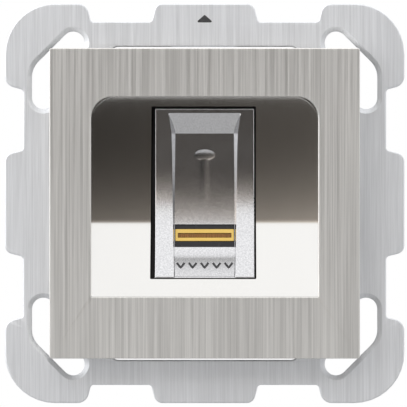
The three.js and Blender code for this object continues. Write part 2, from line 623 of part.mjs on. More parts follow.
function clampScrew(x) {
  const shaft = rod(1, BAR_HIGH + 0.2, SCREW_SEAT + 0.3, x, HEADER_Z, 12);
  const head = rod(1.5, SCREW_SEAT + 0.15, SCREW_SEAT + 1.45, x, HEADER_Z, 16);
  const slot = block(x - 2, x + 2, SCREW_SEAT + 0.85, SCREW_SEAT + 2, HEADER_Z - 0.25, HEADER_Z + 0.25);
  return shaft.add(head).subtract(slot);
}

piece("plug_body", plugBody(), GREEN_PLASTIC);
poles.forEach((x, i) => {
  piece(`plug_contact_${i + 1}`, plugContact(x), TINNED);
  piece(`wire_cage_${i + 1}`, wireCage(x), ZINC_STEEL);
  piece(`clamp_screw_${i + 1}`, clampScrew(x), ZINC_STEEL);
});

export default reader;
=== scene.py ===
import math

import bmesh
import bpy
import numpy as np
from mathutils import Matrix, Vector, geometry


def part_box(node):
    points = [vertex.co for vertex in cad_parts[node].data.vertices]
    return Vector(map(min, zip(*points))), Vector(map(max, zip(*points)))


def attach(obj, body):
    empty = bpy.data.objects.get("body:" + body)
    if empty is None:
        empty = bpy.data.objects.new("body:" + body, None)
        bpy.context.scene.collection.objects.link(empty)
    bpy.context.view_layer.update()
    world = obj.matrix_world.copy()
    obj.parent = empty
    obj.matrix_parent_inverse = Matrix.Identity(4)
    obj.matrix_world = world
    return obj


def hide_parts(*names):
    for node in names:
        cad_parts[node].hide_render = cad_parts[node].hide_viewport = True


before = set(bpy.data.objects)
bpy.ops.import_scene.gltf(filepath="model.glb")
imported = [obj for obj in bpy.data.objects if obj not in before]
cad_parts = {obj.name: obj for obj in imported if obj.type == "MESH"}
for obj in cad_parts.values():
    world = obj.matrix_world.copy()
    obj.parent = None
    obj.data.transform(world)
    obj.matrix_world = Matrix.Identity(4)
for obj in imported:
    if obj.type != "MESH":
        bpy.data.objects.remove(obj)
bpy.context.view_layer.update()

# ------------------------------------------------------------------ mounting plate
# A square of bare steel sheet, stamped with a notched edge, a large opening and a bent
# slot in each corner, whose front edges are coined. Its front is brushed from top to
# bottom, and box screws pull it flat against the wall.

MM = 0.001
PLATE_HALF = 38.5
PLATE_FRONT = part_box("mounting_plate")[0][1] / MM
NOTCH_FLOOR = 35.0
PLATE_ROLL = 0.28            # the rounding that the stamping leaves on the front edges
SLOT_HALF_WIDTH = 2.2
SLOT_CHAMFER = 0.9
SLOT_CHAMFER_DEPTH = 0.6
STEEL_COOL = (0.85, 0.862, 0.885, 1)
STEEL_COOL_LINE = (0.7, 0.712, 0.735, 1)


def outline(corners, steps=9):
    """Points of a closed outline from corners [across, up, fillet radius]."""
    points = []
    for i, (x, z, radius) in enumerate(corners):
        here = Vector((x, z))
        back = (Vector(corners[i - 1][:2]) - here).normalized()
        ahead = (Vector(corners[(i + 1) % len(corners)][:2]) - here).normalized()
        if radius == 0:
            points.append(here)
            continue
        half = back.angle(ahead) / 2
        centre = here + (back + ahead).normalized() * radius / math.sin(half)
        start = here + back * radius / math.tan(half) - centre
        turn = (math.pi - 2 * half) * (1 if back.cross(ahead) < 0 else -1)
        for step in range(steps + 1):
            points.append(centre + Matrix.Rotation(turn * step / steps, 2) @ start)
    return points


def grown(points, distance):
    """The same outline moved outwards, point by point."""
    moved = []
    for i, here in enumerate(points):
        before = (here - points[i - 1]).normalized()
        after = (points[(i + 1) % len(points)] - here).normalized()
        across = Vector((before.y + after.y, -before.x - after.x)).normalized()
        stretch = max(0.3, across.dot(Vector((after.y, -after.x))))
        moved.append(here + across * distance / stretch)
    return moved


def fourfold(quarter):
    """Repeats the corners of one quarter in all four, anticlockwise."""
    turned = quarter[::-1]
    return (quarter + [(-x, z, r) for x, z, r in turned]
            + [(-x, -z, r) for x, z, r in quarter] + [(x, -z, r) for x, z, r in turned])


class Work:
    """Collects the points and faces of one piece in millimetres."""

    def __init__(self):
        self.points, self.faces = [], []

    def ring(self, flat, y):
        """Adds an outline in X and Z at one depth, or at a depth for each point."""
        first = len(self.points)
        depths = y if hasattr(y, "__len__") else [y] * len(flat)
        self.points += [(p[0], depth, p[1]) for p, depth in zip(flat, depths)]
        return list(range(first, len(self.points)))

    def wall(self, *rings):
        """Joins closed rings of the same length, one to the next."""
        for a, b in zip(rings, rings[1:]):
            for i in range(len(a)):
                self.faces.append((a[i - 1], a[i], b[i], b[i - 1]))

    def fill(self, *rings):
        """Fills a flat outline, less the holes that the further rings bound."""
        indices = [i for ring in rings for i in ring]
        flat = [[Vector((self.points[i][0], self.points[i][2], 0)) for i in ring] for ring in rings]
        self.faces += [tuple(indices[i] for i in face) for face in geometry.tessellate_polygon(flat)]

    def made(self, name, body, *nodes, sharp=32, sheet=0.0):
        """The piece as an object in metres that rides on a body and replaces CAD nodes."""
        mesh = bpy.data.meshes.new(name)
        mesh.from_pydata([[c * MM for c in point] for point in self.points], [], self.faces)
        return finished(mesh, name, body, *nodes, sharp=sharp, sheet=sheet)


def finished(mesh, name, body, *nodes, sharp=32, sheet=0.0):
    """Cleans a mesh, thickens a skin backwards, keeps its flats flat, and gives it its place."""
    work = bmesh.new()
    work.from_mesh(mesh)
    bmesh.ops.remove_doubles(work, verts=work.verts, dist=0.002 * MM)
    bmesh.ops.recalc_face_normals(work, faces=work.faces)
    work.to_mesh(mesh)
    work.free()
    item = bpy.data.objects.new(name, mesh)
    bpy.context.collection.objects.link(item)
    if sheet:
        skin = item.modifiers.new("sheet", "SOLIDIFY")
        skin.thickness, skin.offset = sheet * MM, -1
        ready = item.evaluated_get(bpy.context.evaluated_depsgraph_get())
        item.data = bpy.data.meshes.new_from_object(ready)
        item.modifiers.clear()
    item.data.polygons.foreach_set("use_smooth", [True] * len(item.data.polygons))
    item.data.set_sharp_from_angle(angle=math.radians(sharp))
    item.modifiers.new("flats", "WEIGHTED_NORMAL").keep_sharp = True
    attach(item, body)
    if nodes:
        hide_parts(*nodes)
    return item


class Shade:
    """A shader socket that can be added, scaled and compared like a number."""

    def __init__(self, tree, socket=None):
        self.tree, self.socket = tree, socket

    def node(self, kind, sockets=None, output=0, **settings):
        """Adds a node: its settings first, then the values or links of its sockets."""
        made = self.tree.nodes.new("ShaderNode" + kind)
        for name, value in settings.items():
            setattr(made, name, value)
        for key, value in (sockets or {}).items():
            if isinstance(value, Shade):
                self.tree.links.new(value.socket, made.inputs[key])
            else:
                made.inputs[key].default_value = value
        return Shade(self.tree, made.outputs[output])

    def maths(self, operation, *values):
        return self.node("Math", dict(enumerate(values)), operation=operation)

    def __add__(self, other):
        return self.maths("ADD", self, other)

    def __sub__(self, other):
        return self.maths("SUBTRACT", self, other)

    def __rsub__(self, other):
        return self.maths("SUBTRACT", other, self)

    def __mul__(self, other):
        return self.maths("MULTIPLY", self, other)

    def __abs__(self):
        return self.maths("ABSOLUTE", self)

    __radd__, __rmul__ = __add__, __mul__

    def __gt__(self, other):
        return self.maths("GREATER_THAN", self, other)

    def waves(self, each_metre):
        """A sine with so many radians for each metre."""
        return self.maths("SINE", self * each_metre)

    def step(self, low, high):
        """Rises smoothly from 0 at low to 1 at high."""
        sockets = {"Value": self, "From Min": low, "From Max": high}
        return self.node("MapRange", sockets, interpolation_type="SMOOTHSTEP")

    def between(self, low, high):
        """Blends two colours by this value."""
        return self.node("Mix", {0: self, 6: low, 7: high}, output=2, data_type="RGBA")

    def place(self, x=1, y=1, z=1):
        """Object coordinates, stretched along each axis."""
        here = self.node("TexCoord", output=3)
        return self.node("VectorMath", {0: here, 1: (x, y, z)}, operation="MULTIPLY")

    def noise(self, x, y, z, detail=2.0, scale=1.0):
        """Noise with so many features for each metre along each axis."""
        sockets = {"Vector": self.place(x, y, z), "Scale": scale, "Detail": detail}
        return self.node("TexNoise", sockets, noise_dimensions="3D")


def finish(name, make, **constants):
    """A material whose constants sit on the shader's own sockets and whose patterns
    come from make(shade), as a dictionary of sockets to shades."""
    material = bpy.data.materials.new(name)
    material.use_nodes = True
    tree = material.node_tree
    shader = tree.nodes["Principled BSDF"]
    for key, value in constants.items():
        shader.inputs[key.replace("_", " ")].default_value = value
    patterns = make(Shade(tree))
    height = patterns.pop("Height", None)
    if height:
        strength, distance, pattern = height
        sockets = {"Strength": strength, "Distance": distance, "Height": pattern}
        patterns["Normal"] = Shade(tree).node("Bump", sockets)
    for key, value in patterns.items():
        tree.links.new(value.socket, shader.inputs[key])
    return material


def coat(item, material):
    """Gives a piece one material."""
    item.data.materials.clear()
    item.data.materials.append(material)


def brushed(light, dark, across, along, roughness):
    """Brush lines in colour, gloss and height: up and down, or back to front on a level face."""
    def make(shade):
        broad = shade.noise(across, across, along)
        fine = shade.noise(across * 3.7, across * 3.7, along * 3.1)
        over_the_top = shade.noise(across, along, across)
        facing = shade.node("NewGeometry", output="Normal")
        level = abs(shade.node("SeparateXYZ", {0: facing}, output=2)).step(0.5, 0.8)
        upright = broad * 0.55 + fine * 0.45
        lines = (upright + (over_the_top - upright) * level).step(0.3, 0.7)
        cloud = shade.noise(38, 38, 22, detail=1)
        return {
            "Base Color": (lines * 0.8 + cloud * 0.2).between(dark, light),
            "Roughness": roughness - 0.06 + lines * 0.08 + cloud * 0.05,
            "Height": (0.25, 0.00002, lines),
        }
    return make


def corner_slot(right, up):
    """The bent slot of one corner as corners of an outline, anticlockwise."""
    w, diagonal = SLOT_HALF_WIDTH, math.sqrt(0.5)
    x_top, z_top, x_bend, z_bend, z_end = 25.35, 30.95, 31.1, 25.2, 20.4
    miter = w * math.tan(math.pi / 8)
    corners = [
        (x_top - 2 * diagonal * w, z_top, w * 0.99), (x_bend - w, z_bend - miter, 1.2),
        (x_bend - w, z_end - w, w * 0.99), (x_bend + w, z_end - w, w * 0.99),
        (x_bend + w, z_bend + miter, w + 2.1), (x_top, z_top + 2 * diagonal * w, w * 0.99),
    ]
    placed = [(x * right, z * up, r) for x, z, r in corners]
    return placed if right * up > 0 else placed[::-1]


def plate():
    work = Work()
    rim = outline(fourfold([
        (PLATE_HALF, 9.4, 1.7), (NOTCH_FLOOR, 10.3, 0.7), (NOTCH_FLOOR, 21.9, 0.7),
        (PLATE_HALF, 22.8, 2.2), (PLATE_HALF, PLATE_HALF, 9.7), (22.8, PLATE_HALF, 2.2),
        (21.9, NOTCH_FLOOR, 0.7), (10.3, NOTCH_FLOOR, 0.7), (9.4, PLATE_HALF, 1.7),
    ]))
    opening = outline(fourfold([(25, 24, 2), (18.2, 24, 1), (18.2, 30.2, 1.6)]))
    slots = [outline(corner_slot(right, up)) for right in (1, -1) for up in (1, -1)]
    fronts, backs = [], []
    for edge, outwards in [(rim, 1), (opening, -1)]:
        rings = [work.ring(edge, 0)]
        for step in range(4):
            bend = step * math.pi / 6
            inset = -PLATE_ROLL * (1 - math.cos(bend)) * outwards
            depth = PLATE_FRONT + PLATE_ROLL * (1 - math.sin(bend))
            rings.append(work.ring(grown(edge, inset), depth))
        work.wall(*rings)
        backs.append(rings[0])
        fronts.append(rings[-1])
    for slot in slots:
        throat = PLATE_FRONT + SLOT_CHAMFER_DEPTH
        rings = [work.ring(slot, 0), work.ring(slot, throat + 0.05)]
        rings.append(work.ring(grown(slot, 0.06), throat - 0.03))
        rings.append(work.ring(grown(slot, SLOT_CHAMFER - 0.08), PLATE_FRONT + 0.05))
        rings.append(work.ring(grown(slot, SLOT_CHAMFER), PLATE_FRONT))
        work.wall(*rings)
        backs.append(rings[0])
        fronts.append(rings[-1])
    work.fill(*fronts)
    work.fill(*backs)
    return work.made("mounting_plate_steel", "wall_plate", "mounting_plate")


plate_steel = finish(
    "plate_steel", brushed(STEEL_COOL, STEEL_COOL_LINE, 2600, 45, 0.56), Metallic=1.0,
)
coat(plate(), plate_steel)

# ------------------------------------------------------------------ orientation mark
# A plain arrowhead etched into the plate's top tab and filled with dark ink, which shows
# which way up the plate goes on the wall.

MARK_MIDDLE, MARK_ACROSS, MARK_TALL = 35.6, 1.7, 1.5


def orientation_mark():
    work = Work()
    low = MARK_MIDDLE - MARK_TALL / 2
    arrow = outline([(MARK_ACROSS, low, 0.2), (0, low + MARK_TALL, 0.2), (-MARK_ACROSS, low, 0.2)], 3)
    rings = [work.ring(arrow, PLATE_FRONT - 0.004), work.ring(grown(arrow, 0.02), PLATE_FRONT + 0.04)]
    work.wall(*rings)
    work.fill(rings[0])
    work.fill(rings[1])
    return work.made("orientation_mark", "wall_plate")


def inked(shade):
    """Printing ink, thinner in places."""
    cover_of_ink = shade.noise(2600, 2600, 2600, detail=1)
    return {
        "Base Color": cover_of_ink.between((0.02, 0.02, 0.022, 1), (0.07, 0.07, 0.073, 1)),
        "Roughness": 0.45 + cover_of_ink * 0.1,
    }


printing_ink = finish("printing_ink", inked)
coat(orientation_mark(), printing_ink)

# ------------------------------------------------------------------ cover plate
# A square cap of one millimetre stainless sheet with folded sides, brushed from top to
# bottom after folding. Its opening has rounded corners at the top and sharp ones below.

COVER_HALF = 59.3 / 2
COVER_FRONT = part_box("cover_plate")[0][1] / MM
COVER_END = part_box("cover_plate")[1][1] / MM
SHEET = 1.0
OUTER_BREAK = 0.18           # how far the sheet's outer edges are broken
CUT_BREAK = 0.24             # and the edge of its opening
OPENING_HALF = 21.7
OPENING_LOW, OPENING_HIGH = -17.85, 20.4
OPENING_CORNER = 4.0
STEEL_WARM = (0.86, 0.845, 0.82, 1)
STEEL_WARM_LINE = (0.6, 0.59, 0.57, 1)


def opening_outline(grow, steps=12, extra=0.0):
    """The opening's outline, with its top corners rounded by an extra radius if asked."""
    top, low = OPENING_CORNER + grow + extra, 0.3 + max(grow, 0)
    half = OPENING_HALF + grow
    return outline([
        (half, OPENING_LOW - grow, low), (half, OPENING_HIGH + grow, top),
        (-half, OPENING_HIGH + grow, top), (-half, OPENING_LOW - grow, low),
    ], steps)


def square(half, radius, steps=5):
    return outline([(a * half, b * half, radius) for a, b in ((1, -1), (1, 1), (-1, 1), (-1, -1))], steps)


def rolled(work, edge, front, depth, inwards, steps=4):
    """Rings that round the front edge of a sheet, from its side to its face."""
    rings = []
    for step in range(steps + 1):
        bend = step * math.pi / 2 / steps
        inset = depth * (1 - math.cos(bend)) * inwards
        rings.append(work.ring(grown(edge, inset), front + depth * (1 - math.sin(bend))))
    return rings


def cover():
    work = Work()
    edge, inner = square(COVER_HALF, 0.4), square(COVER_HALF - SHEET, 0.3)
    cut = opening_outline(0)
    under = COVER_FRONT + SHEET
    outer_rings = [work.ring(edge, COVER_END)] + rolled(work, edge, COVER_FRONT, OUTER_BREAK, -1)
    cut_rings = [work.ring(cut, under)] + rolled(work, cut, COVER_FRONT, CUT_BREAK, 1)
    inner_rings = [work.ring(inner, under), work.ring(inner, COVER_END)]
    work.wall(*outer_rings)
    work.wall(*cut_rings)
    work.wall(*inner_rings)
    work.fill(outer_rings[-1], cut_rings[-1])
    work.fill(inner_rings[0], cut_rings[0])
    work.fill(outer_rings[0], inner_rings[-1])
    return work.made("cover_plate_steel", "reader_insert", "cover_plate")


cover_steel = finish(
    "cover_steel", brushed(STEEL_WARM, STEEL_WARM_LINE, 2100, 16, 0.36), Metallic=1.0, Anisotropic=0.85,
)
coat(cover(), cover_steel)

# ------------------------------------------------------------------ recess scoop
# A polished tray pressed from thin stainless sheet: a straight ramp at its foot, a tight
# bend, and a back that is almost upright. A flange traps it behind the cover, and a
# window in it lets the finger guide through.

SCOOP_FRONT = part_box("recess_scoop")[0][1] / MM
SCOOP_SHEET = 0.75
FLANGE = 2.1
SCOOP_SIDE_BOW = 420.0       # the pressed back is very slightly hollow from side to side
WINDOW_LEFT, WINDOW_LEFT_FOOT, WINDOW_RIGHT = -10.25, -10.45, 9.9


def marched(foot, legs, steps=48):
    """A hollow curve in depth and height, from straight legs and easing arcs."""
    points = [foot]
    for tilt, radius, end in legs:
        depth, height = points[-1]
        tilt = math.radians(tilt)
        if radius is None:
            points.append((depth + (end - height) * math.tan(tilt), end))
            continue
        for step in range(1, steps + 1):
            now = tilt + (math.radians(end) - tilt) * step / steps
            rise = radius * (math.sin(tilt) - math.sin(now))
            points.append((depth + radius * (math.cos(now) - math.cos(tilt)), height + rise))
    return np.array(points)


def depth_at(curve, height):
    return np.interp(height, curve[:, 1], curve[:, 0])


scoop_curve = marched(
    (SCOOP_FRONT, OPENING_LOW - 0.1), [(23, None, -5.2), (23, 9, 9.5), (9.5, 140, -0.8), (-0.8, None, 24)],
)
GUIDE_HALF = 9.55
GUIDE_LOW, GUIDE_HIGH = -14.3, 18.3


def scoop_depth(x, z):
    return depth_at(scoop_curve, z) - x * x / (2 * SCOOP_SIDE_BOW)


def walked(sheet):
    """The outer border of a sheet, corner by corner and anticlockwise."""
    here = max(sheet.verts, key=lambda corner: corner.co.z)
    border, came = [], None
    while not border or here is not border[0]:
        border.append(here)
        came = next(edge for edge in here.link_edges if edge.is_boundary and edge is not came)
        here = came.other_vert(here)
    turns = sum(a.co.x * b.co.z - b.co.x * a.co.z for a, b in zip(border, border[1:]))
    return border if turns > 0 else border[::-1]


def scoop():
    """One sheet: curved back, walls and flange, then its thickness."""
    mouth = opening_outline(0.1, 16, extra=1.0)
    window = outline([
        (WINDOW_RIGHT, GUIDE_LOW - 0.2, 0.2), (WINDOW_RIGHT, GUIDE_HIGH + 0.4, 0.2),
        (WINDOW_LEFT, GUIDE_HIGH + 0.4, 0.2), (WINDOW_LEFT_FOOT, GUIDE_LOW - 0.2, 0.2),
    ], 3)
    back = Work()
    back.fill(back.ring(mouth, 0), back.ring(window, 0))
    sheet = bmesh.new()
    corners = [sheet.verts.new(point) for point in back.points]
    for face in back.faces:
        sheet.faces.new([corners[i] for i in face])
    cuts = [((0, 0, height), (0, 0, 1)) for height in np.arange(OPENING_LOW, OPENING_HIGH, 0.25)]
    cuts += [((side, 0, 0), (1, 0, 0)) for side in np.arange(-20, 21, 2)]
    for place, facing in cuts:
        everything = sheet.verts[:] + sheet.edges[:] + sheet.faces[:]
        bmesh.ops.bisect_plane(sheet, geom=everything, plane_co=place, plane_no=facing, dist=1e-5)
    for corner in sheet.verts:
        corner.co.y = scoop_depth(corner.co.x, corner.co.z)
    work = Work()
    sheet.verts.index_update()
    work.points = [tuple(corner.co) for corner in sheet.verts]
    work.faces = [tuple(corner.index for corner in face.verts) for face in sheet.faces]
    rim = [corner.index for corner in walked(sheet)]
    sheet.free()
    flat = [Vector((work.points[i][0], work.points[i][2])) for i in rim]
    work.wall(rim, work.ring(flat, SCOOP_FRONT), work.ring(grown(flat, FLANGE), SCOOP_FRONT))
    return work.made("recess_scoop_steel", "reader_insert", "recess_scoop", sharp=20, sheet=SCOOP_SHEET)


def polished(shade):
    grain = shade.noise(5200, 5200, 150)
    haze = shade.noise(60, 60, 45, detail=1)
    return {
        "Base Color": (grain * 0.5 + haze * 0.3).between((0.63, 0.622, 0.605, 1), (0.705, 0.7, 0.688, 1)),
        "Roughness": 0.09 + grain * 0.04 + haze * 0.04,
        "Height": (0.06, 0.00001, grain),
    }


scoop_steel = finish("scoop_steel", polished, Metallic=1.0)
coat(scoop(), scoop_steel)

# ------------------------------------------------------------------ finger guide
# One moulding with a satin metallised skin. Two side rails frame a bevelled channel that
# grows shallower downwards, with a dimple for the fingertip, a groove that fades below
# it, and a window for the sensor. A flange at its back is screwed to the carrier.

RAIL_FOOT = (-7.15, GUIDE_LOW - 0.2)
rail_curve = marched(RAIL_FOOT, [(22.5, None, -8), (22.5, 50, 3), (3, None, 24)])
floor_curve = marched(RAIL_FOOT, [(41, None, -10.66), (41, 16, 13), (13, 66, 3), (3, None, 24)])
BEVEL_TOP, BEVEL_FOOT = 17.35, 13.6
CHANNEL_HEIGHTS = (-14.5, -8.5, -4, 3, 10, 13.6, 17.35)
CHANNEL_FLOOR = (5.7, 5.8, 5.79, 5.75, 5.7, 5.65, 5.6)      # half widths at those heights
CHANNEL_MOUTH = (5.85, 6.0, 6.08, 6.2, 6.28, 6.4, 6.95)
DIMPLE_HEIGHT, DIMPLE_ACROSS, DIMPLE_UP = 9.3, 2.05, 1.05
DIMPLE_DEPTH, GROOVE_DEPTH, GROOVE_HALF = 0.1, 0.05, 1.15
SENSOR_LOW, SENSOR_HIGH = -8.42, -4.04
WINDOW_SHARE = 0.995         # how much of the channel's floor the sensor's window takes across
RIM_SHARES = np.array([0.03, 0.015, 0.005, 0])   # extra columns that round the outer edge
EDGE_ROUND = 0.16


def softer(a, b, radius, sign):
    """The larger (sign 1) or smaller (sign -1) of two heights with a rounded join."""
    blend = np.clip(0.5 + sign * (a - b) / (2 * radius), 0, 1)
    return b + (a - b) * blend + sign * radius * blend * (1 - blend)


def guide_depth(x, z):
    """How deep the moulding's face lies at a place across it and up it."""
    rail, floor = depth_at(rail_curve, z), depth_at(floor_curve, z)
    half = np.interp(z, CHANNEL_HEIGHTS, CHANNEL_FLOOR)
    mouth = np.interp(z, CHANNEL_HEIGHTS, CHANNEL_MOUTH)
    spread = np.clip((np.abs(x) - half) / (mouth - half), 0, 2)
    wall = floor - (floor - rail + 0.02) * spread
    foot = depth_at(floor_curve, BEVEL_FOOT)
    slope = (foot - depth_at(rail_curve, BEVEL_TOP)) / (BEVEL_TOP - BEVEL_FOOT)
    channel = softer(wall, foot - (z - BEVEL_FOOT) * slope, 0.06, -1)
    depth = softer(rail, channel, 0.05, 1)
    dish = np.clip(1 - (x / DIMPLE_ACROSS) ** 2 - ((z - DIMPLE_HEIGHT) / DIMPLE_UP) ** 2, 0, 1)
    fade = np.clip((z + 0.5) / 8, 0, 1) * (z < DIMPLE_HEIGHT)
    groove = (1 + np.cos(math.pi * np.clip(x / GROOVE_HALF, -1, 1))) / 2 * GROOVE_DEPTH * fade
    depth = depth + np.maximum(DIMPLE_DEPTH * dish ** 0.75, groove)
    border = np.minimum(np.minimum(GUIDE_HALF - np.abs(x), z - GUIDE_LOW), GUIDE_HIGH - z)
    edge = np.clip(EDGE_ROUND - border, 0, EDGE_ROUND)
    return depth + EDGE_ROUND - np.sqrt(EDGE_ROUND ** 2 - edge ** 2)


def spaced(low, high, fine, *marks):
    """Grid lines no further apart than fine, with one on every mark."""
    stops = sorted({low, high, *marks})
    lines = [low]
    for a, b in zip(stops, stops[1:]):
        lines += list(np.linspace(a, b, max(1, math.ceil((b - a) / fine)) + 1)[1:])
    return np.array(lines)


def around(low, high, left, right):
    """The rows and columns on the border of a block of a grid, in order."""
    return ([(low, c) for c in range(left, right)] + [(r, right) for r in range(low, high)]
            + [(high, c) for c in range(right, left, -1)] + [(r, left) for r in range(high, low, -1)])


ROW_PITCH = 0.16        # between the rows of the grid that the guide is made on
GUIDE_SKIN = 0.35       # thin enough to stay inside the channel at its foot


def guide():
    """A grid whose columns follow the channel's floor and mouth, less the sensor's window."""
    half_columns = np.concatenate([
        np.linspace(0, WINDOW_SHARE, 37), np.linspace(1, 2, 13), np.linspace(2, 3, 26)[1:-1], 3 - RIM_SHARES,
    ])
    across = np.concatenate([-half_columns[:0:-1], half_columns])
    round_foot = [BEVEL_FOOT + step * 0.06 for step in range(-3, 4)]
    round_top = [BEVEL_TOP + step * 0.05 for step in range(-3, 4)]
    up = spaced(
        GUIDE_LOW, GUIDE_HIGH, ROW_PITCH, SENSOR_LOW, SENSOR_HIGH,
        GUIDE_LOW + 0.03, GUIDE_LOW + 0.1, GUIDE_HIGH - 0.1, *round_foot, *round_top,
    )
    floor_half = np.interp(up, CHANNEL_HEIGHTS, CHANNEL_FLOOR)
    mouth_half = np.interp(up, CHANNEL_HEIGHTS, CHANNEL_MOUTH)
    grid_x = np.array([
        np.sign(across) * np.interp(np.abs(across), (0, 1, 2, 3), (0, floor, mouth, GUIDE_HALF))
        for floor, mouth in zip(floor_half, mouth_half)
    ])
    grid_z = np.repeat(up[:, None], len(across), axis=1)
    grid_y = guide_depth(grid_x, grid_z)
    work = Work()
    work.points = [tuple(p) for p in np.stack([grid_x, grid_y, grid_z], axis=-1).reshape(-1, 3)]
    wide, tall = len(across), len(up)
    for row in range(tall - 1):
        for column in range(wide - 1):
            in_window = (abs(across[column] + across[column + 1]) < 2 * WINDOW_SHARE
                         and 2 * SENSOR_LOW < up[row] + up[row + 1] < 2 * SENSOR_HIGH)
            if not in_window:
                first = row * wide + column
                work.faces.append((first, first + 1, first + wide + 1, first + wide))
    rim = [row * wide + column for row, column in around(0, tall - 1, 0, wide - 1)]
    skirt = [Vector((work.points[i][0], work.points[i][2])) for i in rim]
    work.wall(rim, work.ring(skirt, 3.6))
    low, high = np.searchsorted(up, [SENSOR_LOW - 1e-6, SENSOR_HIGH - 1e-6])
    left, right = np.searchsorted(across, [-WINDOW_SHARE - 1e-6, WINDOW_SHARE - 1e-6])
    sill = [row * wide + column for row, column in around(low, high, left, right)]
    inside = work.ring(
        [Vector((work.points[i][0], work.points[i][2] - 0.6)) for i in sill],
        [work.points[i][1] + 1.4 for i in sill],
    )
    work.wall(sill, inside)
    return work.made("finger_guide_moulding", "reader_insert", "finger_guide", sharp=50, sheet=GUIDE_SKIN)


def metallised(shade):
    """Satin metal skin: fine flakes that tip the surface, and a slow cloudiness."""
    flake = shade.noise(3600, 3600, 3600, detail=2)
    speck = shade.noise(8200, 8200, 8200, detail=0)
    cloud = shade.noise(240, 240, 240, detail=2)
    sheen = flake.step(0.3, 0.7) * 0.7 + cloud * 0.3
    return {
        "Base Color": sheen.between((0.52, 0.52, 0.535, 1), (0.66, 0.66, 0.67, 1)),
        "Roughness": 0.15 + cloud * 0.04 + speck * 0.02,
        "Height": (0.4, 0.00001, flake * 0.75 + speck * 0.25),
    }


guide_metallised = finish("guide_metallised", metallised, Metallic=1.0)
coat(guide(), guide_metallised)

# ------------------------------------------------------------------ printed swipe marks
# A plain row of downward chevrons, pad printed in dark grey ink on the slope below the
# sensor, that shows which way to draw the finger.

INK_HALF_STROKE = 0.2
MARK_HEIGHT = -12.35
MARK_PITCH, MARK_HALF_WIDTH, MARK_FALL = 2.3, 0.74, 0.92


def swipe_marks():
    work = Work()
    for i in range(-2, 3):
        middle = i * MARK_PITCH
        line = [
            Vector((middle + step * MARK_HALF_WIDTH / 6, abs(step) * MARK_FALL / 6))
            for step in range(-6, 7)
        ]
        sides = ([], [])
        for k, here in enumerate(line):
            along = (line[min(k + 1, 12)] - line[max(k - 1, 0)]).normalized()
            across = Vector((-along.y, along.x)) * INK_HALF_STROKE
            for side, sign in zip(sides, (1, -1)):
                x, z = here + across * sign
                side.append((x, z + MARK_HEIGHT))
        rings = [work.ring(side, [guide_depth(x, z) - 0.012 for x, z in side]) for side in sides]
        for k in range(12):
            work.faces.append((rings[0][k], rings[0][k + 1], rings[1][k + 1], rings[1][k]))
    return work.made("swipe_marks_print", "reader_insert", sheet=0.01)


coat(swipe_marks(), printing_ink)

# ------------------------------------------------------------------ scanner gasket
# A black rubber collar that fills the gap between the finger guide and the scoop's window
# and keeps spray out. It is trapped between the scoop and the carrier.


def softened(name, body, node, radius, segments=2):
    """A copy of a plain solid with its edges rounded, which stands for it."""
    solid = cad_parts[node].data
    mesh = bpy.data.meshes.new(name)
    mesh.from_pydata([tuple(v.co) for v in solid.vertices], [], [tuple(f.vertices) for f in solid.polygons])
    work = bmesh.new()
    work.from_mesh(mesh)
    bmesh.ops.remove_doubles(work, verts=work.verts, dist=0.001 * MM)
    bmesh.ops.dissolve_limit(work, angle_limit=math.radians(0.6), verts=work.verts, edges=work.edges)
    bmesh.ops.connect_verts_concave(work, faces=work.faces)
    work.to_mesh(mesh)
    work.free()
    item = finished(mesh, name, body, node, sharp=180)
    item.modifiers["flats"].keep_sharp = False
    edge = item.modifiers.new("edges", "BEVEL")
    edge.width, edge.segments, edge.limit_method = radius * MM, segments, "ANGLE"
    edge.angle_limit, edge.use_clamp_overlap = math.radians(28), True
    item.modifiers.move(1, 0)
    return item


def rubber(shade):
    bloom = shade.noise(420, 420, 420, detail=3)
    pores = shade.noise(5200, 5200, 5200, detail=1)
    return {
        "Base Color": bloom.between((0.003, 0.003, 0.003, 1), (0.014, 0.013, 0.013, 1)),
        "Roughness": 0.62 + bloom * 0.15,
        "Height": (0.4, 0.00003, pores),
    }


black_rubber = finish("black_rubber", rubber, Specular_IOR_Level=0.18)
coat(softened("scanner_gasket_rubber", "reader_insert", "scanner_gasket", 0.08), black_rubber)

# ------------------------------------------------------------------ bonding tape
# A square frame of black foam tape that glues the scoop's flange and the carrier to the
# back of the cover.

coat(softened("cover_bonding_foam", "reader_insert", "cover_bonding_tape", 0.1), black_rubber)

# ------------------------------------------------------------------ swipe sensor
# A black moulded package in the slope of the channel. A gold plated frame earths the
# finger, and the narrow silicon strip inside it reads the ridges as they pass.


def epoxy(shade):
    haze = shade.noise(900, 900, 900, detail=2)
    return {
        "Base Color": haze.between((0.006, 0.006, 0.008, 1), (0.018, 0.017, 0.02, 1)),
        "Roughness": 0.2 + haze * 0.12,
    }


def gilded(shade):
    grain = shade.noise(2400, 5200, 5200, detail=2)
    bright = shade.noise(300, 900, 900, detail=1)
    return {
        "Base Color": (grain * 0.5 + bright * 0.5).between((0.56, 0.37, 0.085, 1), (0.76, 0.55, 0.19, 1)),
        "Roughness": 0.3 + grain * 0.1,
        "Height": (0.15, 0.00002, grain),
    }


def sensing(shade):
    lines = shade.noise(9000, 60, 60, detail=1)
    tint = shade.noise(500, 200, 200, detail=1)
    return {
        "Base Color": (lines * 0.6 + tint * 0.4).between((0.12, 0.045, 0.006, 1), (0.3, 0.13, 0.02, 1)),
        "Roughness": 0.22 + lines * 0.1,
        "Metallic": 0.25 + tint * 0.2,
    }


